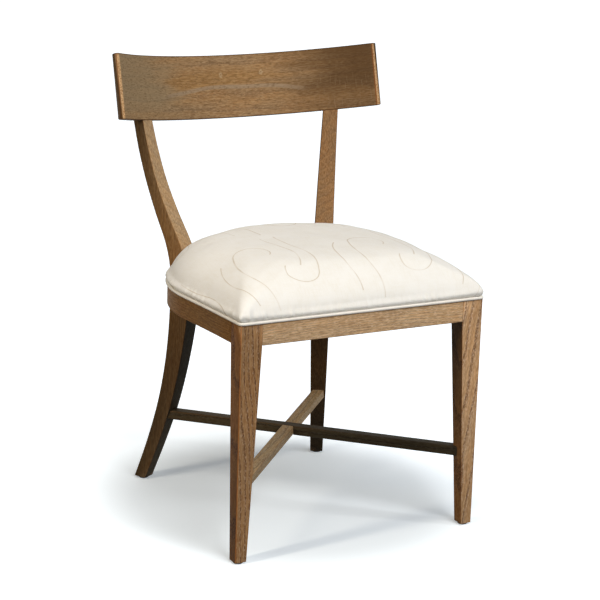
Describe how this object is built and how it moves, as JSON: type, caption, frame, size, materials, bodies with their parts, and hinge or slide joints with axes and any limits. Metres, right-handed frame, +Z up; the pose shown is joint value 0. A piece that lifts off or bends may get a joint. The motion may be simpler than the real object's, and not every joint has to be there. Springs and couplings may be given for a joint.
{
  "type": "klismos dining chair",
  "caption": "Klismos dining chair in brown oak: sabre back legs rising into curved posts, deep bowed crest rail, tapered front legs, crossed stretchers, crowned cream seat.",
  "frame": {"origin": "on the floor, under the middle of the chair's box", "axes": "+Z up, +X to the right as seen from the front, +Y from the front of the seat to the back"},
  "size_m": [0.5624, 0.5918, 0.8489],
  "materials": {
    "oak": "brown stained open-grain oak, dry matt, pores filled pale, edges worn warmer",
    "block": "plain sawn beech, unfinished",
    "plywood": "plain birch plywood",
    "seat_fabric": "cream linen weave with a faint tone on tone scroll",
    "foam": "open-cell foam",
    "cambric": "black non-woven cambric",
    "screw": "zinc plated",
    "glide": "black moulded nylon, fine texture"
  },
  "bodies": {
    "root": {"crest_rail": "oak", "left_rear_post": "oak", "right_rear_post": "oak", "left_front_leg": "oak", "right_front_leg": "oak", "front_seat_rail": "oak", "left_side_seat_rail": "oak", "right_side_seat_rail": "oak", "back_seat_rail": "oak", "stretcher_left_front_to_right_rear": "oak", "stretcher_right_front_to_left_rear": "oak", "left_crest_plug_lower": "oak", "left_crest_plug_upper": "oak", "right_crest_plug_lower": "oak", "right_crest_plug_upper": "oak", "left_crest_screw_lower": "screw", "left_crest_screw_upper": "screw", "right_crest_screw_lower": "screw", "right_crest_screw_upper": "screw", "left_front_corner_block": "block", "right_front_corner_block": "block", "left_rear_corner_block": "block", "right_rear_corner_block": "block", "left_front_block_screw_1": "screw", "left_front_block_screw_2": "screw", "right_front_block_screw_1": "screw", "right_front_block_screw_2": "screw", "left_rear_block_screw_1": "screw", "left_rear_block_screw_2": "screw", "right_rear_block_screw_1": "screw", "right_rear_block_screw_2": "screw", "left_front_seat_screw": "screw", "right_front_seat_screw": "screw", "left_rear_seat_screw": "screw", "right_rear_seat_screw": "screw", "seat_board": "plywood", "dust_cover": "cambric", "seat_foam": "foam", "seat_cover": "seat_fabric", "seat_welt": "seat_fabric", "back_welt": "seat_fabric", "left_front_glide": "glide", "right_front_glide": "glide", "left_rear_glide": "glide", "right_rear_glide": "glide"}
  },
  "joints": []
}
